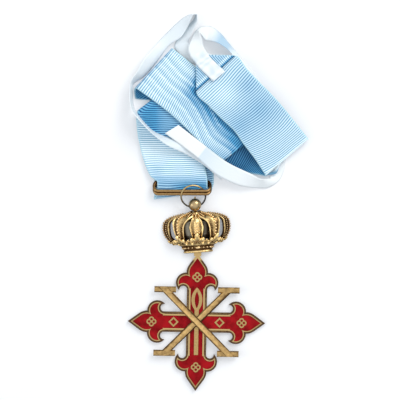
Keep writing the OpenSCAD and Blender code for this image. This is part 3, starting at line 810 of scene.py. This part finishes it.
# %% Knob that gathers the arches
points, faces = many(*ball_form(17, 24), [[1.75, 1.65, 1.6]], UPRIGHT, [[0, 16.75, 1.8]])
crown_piece("crown_knob", points, faces, CROWN_GILT)

# %% [markdown]
# ## The ribbon
#
# The ribbon is one strip, folded back and forth. It is described by rulings: straight lines
# from edge to edge. A fold is a half turn about a line across the ribbon, at whatever slant,
# and along it the edges keep their slant, as paper does.

# %% Rows of the ribbon
RIBBON = np.array([  # edge 1 x, y, height, edge 2 x, y, height, height after a fold or 0
    [-0.3, 116.2, 5.15, 1, 117.4, 5.15, 0], [-0.1, 101.1, 5.15, 16.9, 116.9, 5.15, 0],
    [5.5, 94.7, 5.3, 22.2, 110.9, 5.3, 0], [11.2, 88.9, 5.15, 28.4, 104.5, 5.15, 0],
    [16.4, 84, 5.35, 33.4, 99.4, 5.35, 0], [20.9, 77.7, 5.15, 38.4, 93.8, 5.15, 0],
    [25.3, 72, 4.5, 43.6, 87.3, 4.5, 0], [30.6, 64.1, 3, 49.4, 80.2, 3, 1.65],
    [19.1, 66.2, 1.65, 37.2, 84.7, 1.65, 0], [3.7, 77, 1.6, 21.8, 94.6, 1.65, 0],
    [-10.8, 87.1, 1.55, 8.1, 104.7, 1.65, 0], [-26, 93.2, 1.65, -4.2, 109.8, 1.65, 2.85],
    [-26.4, 88.9, 2.85, -1.5, 95.5, 2.85, 0], [-25.8, 82.2, 2.35, 0, 85.4, 2.85, 0],
    [-24.8, 77.5, 1.7, 1.2, 79.2, 2.65, 0], [-24.3, 75, 1.7, 1.8, 75.8, 1.95, 0],
    [-23.5, 72.1, 1.7, 2.6, 72.2, 1.75, 0], [-20.2, 64.2, 2.1, 4.4, 64.9, 2, 0],
    [-17.2, 61.4, 2.95, 4.8, 61.6, 2.9, 0], [-17.2, 57.2, 2.85, 4.8, 59.4, 2.85, 0],
    [-18.7, 53.7, 2.85, 6.4, 57, 2.85, 0.5], [-18.5, 58.1, 0.5, 7.6, 61.2, 0.5, 0],
    [-18.5, 64.2, 0.5, 7.6, 67.8, 0.5, 0], [-19.5, 85.4, 0.5, 0.7, 92.4, 0.5, 0],
    [-20.6, 97.4, 0.5, -5.5, 110, 0.5, 0], [-26.7, 98.2, 0.5, -8.2, 115, 0.5, 0],
    [-27.2, 103, 0.5, -11, 120.5, 0.5, 4], [-19.8, 97.9, 4, -4.4, 115.3, 4, 0],
    [-12, 91.9, 4.1, 2.2, 110, 4.1, 0], [-5.1, 85.6, 3.95, 9.9, 103.8, 3.95, 0],
    [2.8, 77.4, 4, 19.1, 96.8, 4, 0], [12.2, 70.8, 3.95, 32.1, 86.3, 3.95, 2.8],
    [9.9, 82.7, 2.8, 31.5, 92, 2.8, 0], [6.6, 94.2, 2.8, 30.1, 99.6, 2.8, 0],
    [14.3, 107.8, 2.8, 17.2, 108.2, 2.8, 0]])
SOLID_WALL = 1.0  # thickness of the cloth's solids, round whose middles the rows are measured
LAYER_STEP = 1.15  # from layer to layer of the stack


# %% Rulings with their folds
FOLD_STEPS, FOLD_SPREAD = 16, 0.3


def slant(step, axis, across):
    """Drift of an edge along the fold line for each millimetre across it, kept within 1."""
    d = step @ across
    return 0.0 if abs(d) < 0.5 else float(np.clip(step @ axis / d, -1, 1))


def fold_rulings(before, row, after):
    """Half a turn of radius r about the fold line: inwards by r (1 - sin), up as a cosine, and
    along by the slant that each edge has before and after the fold."""
    a, b = row[0:2], row[3:5]
    axis = unit(b - a)
    side = np.array([-axis[1], axis[0]])
    inward = side * np.sign(side @ (before[0:2] + before[3:5] - a - b))
    r = abs(row[6] - row[2]) / 2
    edges = [(edge, slant(edge - before[k:k + 2], axis, -inward),
              slant(after[k:k + 2] - edge, axis, inward)) for k, edge in ((0, a), (3, b))]
    found = []
    for turn in np.linspace(0, np.pi, FOLD_STEPS + 1):
        along = r * (turn - np.pi / 2)
        shift = inward * (SOLID_WALL / 2 + r * (1 - np.sin(turn)))
        z = (row[2] + row[6]) / 2 - (row[6] - row[2]) / 2 * np.cos(turn)
        found.append([[*(edge + shift + axis * along * (late if turn > np.pi / 2 else early)), z]
                      for edge, early, late in edges])
    return found


def rulings_of(table):
    """Rulings, and for each the row of the table that it belongs to; a fold's are spread about
    its row."""
    found, rows = [], []
    for i, row in enumerate(table):
        if row[6]:
            found += fold_rulings(table[i - 1], row, table[i + 1])
            rows += list(i + np.linspace(-FOLD_SPREAD, FOLD_SPREAD, FOLD_STEPS + 1))
        else:
            found.append([row[0:3], row[3:6]])
            rows.append(i)
    return np.array(found), np.array(rows)


ribbon_rulings, ribbon_rows = rulings_of(RIBBON)
ribbon_run = lengths(ribbon_rulings.mean(axis=1))
print("rulings:", len(ribbon_rulings), "ribbon length:", round(ribbon_run[-1], 1), "mm")


# %% [markdown]
# Ribs lie nearly along the rulings. Where cloth is pulled or curls, they lean a little, more
# at one edge than at the other, and a painted shade changes from stretch to stretch: the cloth
# is pale in full light and painted a deep blue where a layer above shades it.

# %% Lean of the ribs and painted shade
LOOK = np.array([  # row of the ribbon, lean in degrees at edges 1 and 2, painted shade at edges 1 and 2
    [0, 3, 3, 0.05, 0.05], [1, 3, 3, 0.08, 0.15], [2, 0, 1, 0.2, 0.28], [3, -2, -2, 0.35, 0.3],
    [4, -3, -2, 0.45, 0.3], [5, -5, -4, 0.35, 0.35], [6, -6, -4, 0.2, 0.15],
    [7, -5, -4, 0.15, 0.1], [7.3, -5, -5, 1, 1], [8, -15, -15, 1.8, 1.8],
    [9, -15, -15, 1.75, 1.75], [10, -20, -20, 1.2, 1.2], [11, -36, -36, 0.95, 0.95],
    [11.3, -36, -36, 0.95, 0.95], [12, -14, -14, 1, 0.95], [13, -8, -8, 0.3, 0.3],
    [14, -4, -5, -0.2, -0.1], [15, -2, -3, -0.3, -0.1], [16, 0, -1, -0.2, 0],
    [17, 0, 0, 0.35, 0.2], [18, 0, 0, 0.65, 0.55], [19, 0, 0, 0.6, 0.7], [20, 0, 0, 0.35, 0.5],
    [21, 0, 0, 0.4, 0.6], [23, 0, 0, 0.7, 0.7], [24, 0, 0, 1.2, 1.2], [25.9, 0, 0, 1.3, 1.3],
    [26.25, 5, 0, 0.1, 0], [27, 13, -5, 0.05, 0], [28, 12, -2, 0.15, 0.1], [29, 9, 2, 0.15, 0.15],
    [30, 8, 5, 0.15, 0.25], [30.6, 7, 5, 0.35, 0.5], [31, 6, 6, 0.65, 0.9], [34, 0, 0, 1, 1]])

# %% Cloth from rulings
def lay_cloth(rulings, across, spacing, wall):
    """Mid surface on a grid: rows at even measure along the middle, columns at even shares of
    the width. The lowest layer sinks until its thinner wall touches the table."""
    run = lengths(rulings.mean(axis=1))
    u = np.arange(0, run[-1], spacing)
    edges = smooth_through(run, rulings.reshape(-1, 6), u)
    shares = np.linspace(0, 1, across)
    grid = edges[:, None, :3] * (1 - shares[:, None]) + edges[:, None, 3:] * shares[:, None]
    lowest = np.clip(1 - (grid[..., 2] - SOLID_WALL / 2) / LAYER_STEP, 0, 1)
    grid[..., 2] -= (SOLID_WALL - wall) / 2 * lowest
    return grid, u[:, None], shares[None, :]


def cloth_piece(name, node, grid, half, along, across, finish, tone):
    """Front and back at half the wall from the mid surface, square to both directions of its
    grid, and joined at the edges and the ends."""
    normals = unit(np.cross(np.gradient(grid, axis=1), np.gradient(grid, axis=0)))
    off = normals * half[..., None]
    points = place(there_and_back(grid + off, grid - off))
    uv = np.stack(np.broadcast_arrays(across, along), axis=-1)
    return make_piece(name, node, points, skin_faces(*points.shape[:2]), finish,
                      uv=there_and_back(uv, uv), tone=there_and_back(tone, tone))


def ribs(along):
    """Round ribs: |sin(pi along / RIB)| to the 0.7, so 0 in the valleys and 1 on the crests."""
    return np.abs(np.sin(np.pi * along / RIB)) ** 0.7


# %% [markdown]
# The cloth isn't even. The ribs of the right layer sag between its edges, and soft patches of
# it have deeper or paler painted shade. The upper left layer has lengthwise creases, with painted
# highlights on their crests and painted shade beside them; the layer under it has painted deep
# shade only as far as the tape that crosses it; and layers beside a fold get painted shade from it.

# %% Where the cloth is uneven
SAG = np.array([  # row, mm
    [0, 0], [1, 0.1], [2, 0.5], [3, 0.9], [4, 1.2], [5, 1.5], [6, 1.5], [6.6, 0.7], [7, 0]])
PATCHES = np.array([  # x, y, reach, painted shade
    [12.5, 99.5, 5, -0.3], [28, 94, 6, 0.22], [22.5, 104, 4, 0.2], [19.5, 87, 5, 0.15]])
LOOP_SHADE = np.array([  # the same columns: painted shade on the layer that runs down to the loop
    [-8.5, 59, 2.6, 0.2], [-4.5, 59, 2.8, 0.35], [0, 59.3, 2.8, 0.3], [3.5, 59.8, 2.5, 0.25],
    [-17.5, 66.3, 2.8, 0.2]])
CREASES = np.array([  # share of the width, strength
    [0.13, 0.5], [0.28, 0.8], [0.46, 1.0], [0.6, 0.5], [0.73, 1.0], [0.9, 0.5], [1.05, 0.8]])
# Where the painted deep shade of the layer under the upper left one ends.
TAPE_CROSSING = np.array([
    [-28.2, 94.7], [-25, 89.3], [-18.5, 82.8], [-10.5, 78.7], [-2, 76], [5, 71.5]])
# Edges beside which the upper left layer is given painted shade.
MITRE_EDGE = np.array([[0.35, 116.7], [-0.1, 101.1]])
SHADING_EDGE = np.array([
    [-0.1, 101.1], [5.5, 94.7], [11.2, 88.9], [16.4, 84], [20.9, 77.7], [25.3, 72], [30.6, 64.1]])
RIGHT, LEFT, TO_LOOP, UPPER_LEFT = (0, 6.9), (11.5, 17), (13, 20.5), (25.6, 31)  # rows of layers


# %% Tools for layers, creases and shade
def on_layer(row, layer):
    """True between the layer's first and last row."""
    return (row >= layer[0]) & (row < layer[1])


def arc_of(row, layer):
    """sin(pi t), with t from 0 to 1 along the layer."""
    return np.sin(np.pi * np.clip((row - layer[0]) / (layer[1] - layer[0]), 0, 1))


def creased(drift, reach, beside=0.0):
    """Sum of bells across the width, one at each crease or beside it, times its strength."""
    return (CREASES[:, 1] * bell(drift[..., None] - CREASES[:, 0] - beside, reach)).sum(-1)


def soft_spots(points, spots):
    """Sum of bells in plan, each with its own reach and height."""
    away = np.linalg.norm(points[..., None, :] - spots[:, :2], axis=-1)
    return (spots[:, 3] * bell(away, spots[:, 2])).sum(-1)


def line_distance(points, line):
    """Distance in plan from each point to a broken line."""
    a, d = line[:-1], np.diff(line, axis=0)
    rel = points[..., None, :] - a
    t = np.clip((rel * d).sum(-1) / (d * d).sum(-1), 0, 1)
    return np.linalg.norm(rel - t[..., None] * d, axis=-1).min(-1)


# %% Where each rib of the ribbon runs
CLOTH, RIB_HEIGHT = 0.6, 0.1
grid, u, s = lay_cloth(ribbon_rulings, across=27, spacing=RIB / 5, wall=CLOTH)
row = np.interp(u, ribbon_run, ribbon_rows)
lean1, lean2, shade1, shade2 = (np.interp(row, LOOK[:, 0], LOOK[:, k]) for k in range(1, 5))
lean1, lean2 = np.tan(np.radians(lean1)), np.tan(np.radians(lean2))
wobble = 0.12 * np.sin(u / 6.1 + 7 * s) + 0.1 * np.sin(u / 3.7 - 11 * s)
along = u + RIBBON_WIDTH * (lean1 * (s - 0.5) + (lean2 - lean1) * (s * s - 0.25) / 2) + wobble
along = along - np.interp(row, *SAG.T) * 4 * s * (1 - s)

# %% Creases and waves
upper_left, right = on_layer(row, UPPER_LEFT), on_layer(row, RIGHT)
drift = s + 0.11 * np.clip(row - 27.8, 0, 3.2) + 0.032 * np.sin(u / 4.2)
crest, slope = creased(drift, 0.02) * upper_left, creased(drift, 0.03, 0.05) * upper_left
grid[..., 2] += (0.16 * crest - 0.08 * slope) * arc_of(row, UPPER_LEFT) ** 0.4
grid[..., 2] += 0.12 * np.sin(u / 3.3 + 2.5 * s) * right * arc_of(row, RIGHT)

# %% [markdown]
# Past the lower right fold a small corner of the under layer peeps out: its points move out
# by a bell along the fold line times a bell along the ribbon.

# %% Corner that peeps out
LOWER_FOLD = 7  # its row
PEEP_AT, PEEP_REACH, PEEP_OUT = 4.2, 2.6, 2.6  # along the fold line, and out over it


def run_at(some_row):
    """Measure along the ribbon at a row of the table."""
    return np.interp(some_row, row[:, 0], u[:, 0])


fold_foot = RIBBON[LOWER_FOLD, 0:2]
fold_line = unit(RIBBON[LOWER_FOLD, 3:5] - fold_foot)
past = np.array([fold_line[1], -fold_line[0]])
peep = bell((grid[..., :2] - fold_foot) @ fold_line - PEEP_AT, PEEP_REACH)
peep = peep * bell(u - run_at(LOWER_FOLD + FOLD_SPREAD), 2.2) * (row > LOWER_FOLD)
grid[..., :2] += PEEP_OUT * peep[..., None] * past

# %% Shade and light on the ribbon
plan = grid[..., :2]
shade = shade1 * (1 - s) + shade2 * s
# Painted deep shade on the layer under the upper left one, as far as the tape that crosses it.
beyond = np.clip((plan[..., 1] - np.interp(plan[..., 0], *TAPE_CROSSING.T)) / 2 + 0.5, 0, 1)
beyond = beyond * (0.74 + 0.36 * bell(plan[..., 0] + 20.5, 4.5))
shade = np.where(on_layer(row, LEFT), beyond + (1 - beyond) * np.minimum(shade, 0.1), shade)
# Patches of painted shade on the right layer, and painted shade just above the loop.
shade = shade + soft_spots(plan, PATCHES) * right
shade = shade + soft_spots(plan, LOOP_SHADE) * on_layer(row, TO_LOOP)
# Painted shade on the upper left layer beside the right layer's lower edge and the mitred end.
under = bell(line_distance(plan, SHADING_EDGE), 5.2)
under = (under + 0.8 * bell(line_distance(plan, MITRE_EDGE), 1.2)) * upper_left
# Painted highlight along the lower right fold; crest is a painted highlight, slope a painted shade.
fold_light = bell(u - run_at(6.85), 0.5)
tone = np.clip(shade + 0.88 * under - 0.45 * crest + 0.3 * slope - 0.8 * fold_light, -1, 2)

# %% Ribbon
half = CLOTH / 2 - RIB_HEIGHT + RIB_HEIGHT * ribs(along)
ribbon = cloth_piece("ribbed_ribbon", "ribbon", grid, half, along, s * RIBBON_WIDTH, SILK,
                     tone)

# %% [markdown]
# The ribbon's first end is mitred: both corners are folded in to make a point, and the two
# flaps meet under the tape that is sewn there. Folding a corner over a line at 45 degrees
# turns the ribs square to those below.

# %% Mitred end
POINT, HEM = np.array([0.35, 116.7]), np.array([[-0.1, 101.3], [16.7, 116.7]])
END_HEIGHT, FLAP_LIFT = 5.15, 0.32  # of the ribbon's end, and of the flaps over its surface


def flaps(rows=60, across=70):
    """Triangle from the hem to POINT; q runs to the point, p along the hem. The hem rolls up by
    exp(-q / 0.05), and the sides turn down by exp(-distance / 0.015)."""
    q, p = np.meshgrid(np.linspace(0, 0.97, rows), np.linspace(0, 1, across), indexing="ij")
    flat = POINT * q[..., None] + (1 - q[..., None]) * (HEM[0] + p[..., None] * (HEM[1] - HEM[0]))
    from_side = np.minimum(p, 1 - p) * (1 - q)
    lift = END_HEIGHT + CLOTH / 2 + FLAP_LIFT + 0.25 * np.exp(-q / 0.05)
    lift = lift - 0.3 * np.exp(-from_side / 0.015)
    grid = np.concatenate([flat, lift[..., None]], axis=-1)
    along = 1.12 * (flat @ unit(HEM[1] - HEM[0]))
    half = 0.14 + 0.07 * ribs(along)
    # Painted shade along the hem and a painted highlight just above it, over a tone of 0.45.
    tone = 1.35 * bell(q, 0.06) + 0.45 - 0.5 * bell(q - 0.15, 0.05)
    return cloth_piece("mitred_end", "ribbon", grid, half, along, 4.0, SILK, tone)


end_flaps = flaps()

# %% [markdown]
# ## The tie tapes
#
# Each tape is narrow satin, sewn to one end of the ribbon. They bend on edge as well as
# flat, so both edges are measured with their heights.

# %% Rows of the tapes
TAPE_LONG = np.array([  # edge 1 x, y, height, edge 2 x, y, height
    [7.4, 105.4, 6.4, 12.5, 109.9, 6.4], [-0.2, 113.2, 6.4, 5.5, 116.9, 6.4],
    [-3.7, 119.7, 5.7, 3.1, 121, 6.2], [-2, 124.7, 3.8, 2.2, 124.3, 7.2],
    [0, 128.3, 1.7, 1.1, 127.3, 7.5], [2.3, 129.9, 1, 2.1, 126, 6.2],
    [5.6, 130.1, 0.7, 4.2, 123.7, 2.6], [10.1, 127.4, 0.7, 7.9, 123, 4.9],
    [13.6, 123.3, 0.6, 12.2, 120.8, 5.6], [17.8, 118.4, 0.6, 15.6, 117.3, 4],
    [23.3, 111.9, 0.55, 19.2, 107.4, 3], [28.2, 105.5, 0.52, 22.4, 101.4, 0.52],
    [34.5, 92, 0.52, 28.8, 88.4, 0.52], [38.7, 80.5, 0.52, 32.1, 79.4, 0.52],
    [39.4, 73.5, 0.52, 32.8, 73.5, 0.52], [38.7, 67.8, 0.55, 32.3, 68.2, 0.6],
    [36.5, 62.5, 0.6, 32.3, 63.2, 1.3], [29.9, 58.9, 0.8, 29, 62.8, 4.2],
    [21.8, 59.4, 2.2, 24, 65.1, 4.4], [11.2, 63.3, 4, 13.9, 70, 4.5],
    [-1.1, 73.4, 4.9, 2.9, 78.2, 4.7], [-14.1, 83.1, 5, -8.1, 86.7, 4.8]])
TAPE_SHORT = np.array([
    [14.1, 100.5, 1.65, 20.7, 102.1, 1.65], [11.7, 108.2, 1.65, 17.8, 110.9, 1.65],
    [3.7, 111.3, 2.2, 7.3, 117.3, 2.2], [-5.5, 115.7, 2, 0.2, 119.9, 2.2],
    [-9.7, 121.4, 0.75, -3.5, 123, 2.2], [-7.5, 125.6, 0.6, -2.6, 125.4, 4],
    [-4.2, 130, 0.5, -1.1, 128.7, 5.4], [-1.1, 133.3, 0.4, 0.4, 132.6, 6.3],
    [-0.4, 135.2, 0.4, 0.2, 134.9, 6.6], [-2, 135.4, 0.4, -1.3, 134.8, 6.5],
    [-4.4, 134.6, 0.4, -2.4, 132.9, 6.2], [-8.2, 131.9, 0.5, -3.9, 129.6, 4.8],
    [-11.9, 128.3, 0.6, -7, 124.9, 3.6], [-15.8, 124.3, 0.8, -11.7, 122, 1.8],
    [-19.4, 119.9, 2.6, -15.5, 117, 0.7], [-23.3, 115.1, 5, -19.1, 112.3, 0.6],
    [-26, 110, 6.3, -22.9, 108.1, 0.5], [-29, 104.5, 7.1, -28, 103.8, 0.4],
    [-29.3, 99.4, 7.4, -28, 99.4, 0.7], [-28.8, 94.6, 8.7, -27.5, 94.8, 2],
    [-27.3, 91.3, 10.1, -26.4, 92.2, 3.6], [-25.4, 89, 10.2, -24.6, 89.7, 3.7],
    [-18.9, 82.3, 9.4, -18, 83.4, 3.5], [-12.1, 77.2, 7, -9, 80.2, 3.55],
    [-4.4, 73.6, 3.9, 0.2, 78.3, 3.5], [3.1, 69, 3.15, 7.3, 73.9, 3.2],
    [10.8, 62.4, 2, 15.1, 67.9, 2.8]])
TAPE_WIDTH, TAPE_WALL = 7, 0.24

# %% Painted shade of the tapes
LONG_SHADE = np.array([  # mm from the free end, tone of painted shade
    [0, 0], [16.5, 0], [17, 0.4], [25, 0.2], [36, 0.05], [60, 0], [110, 0.05], [114, 0.3],
    [117.5, 0.9], [122, 0.9], [126, 0.1], [135, 0], [145, 0.15], [160, 0.15]])
SHORT_SHADE = np.array([
    [0, 0.1], [20, 0.25], [36, 0.15], [45, 0], [75, 0.05], [90, 0.2], [120, 0.15], [128, 0],
    [155, 0]])


# %% Tapes
def tape(name, node, table, shade, crumpled=0):
    """Rulings straight from the table, through the same cloth layer. Over the first crumpled
    millimetres, at the sewn end, the tone is a little uneven, by a product of two sines."""
    rulings = table.reshape(-1, 2, 3)
    grid, u, s = lay_cloth(rulings, across=9, spacing=0.35, wall=TAPE_WALL)
    crumple = np.sin(u * 1.3 + 5 * s + 2 * np.sin(u * 0.7)) * np.sin(u * 0.9 - 6 * s + 1)
    tone = np.interp(u[-1] - u, *shade.T) + 0.25 * crumple * (u < crumpled)
    half = np.full(grid.shape[:2], TAPE_WALL / 2)
    print("tape length:", round(u[-1, 0], 1), "mm")
    return cloth_piece(name, node, grid, half, u, s * TAPE_WIDTH, SATIN, tone)


tape_long = tape("satin_tape_long", "tie_tape_long", TAPE_LONG, LONG_SHADE, crumpled=14)
tape_short = tape("satin_tape_short", "tie_tape_short", TAPE_SHORT, SHORT_SHADE)
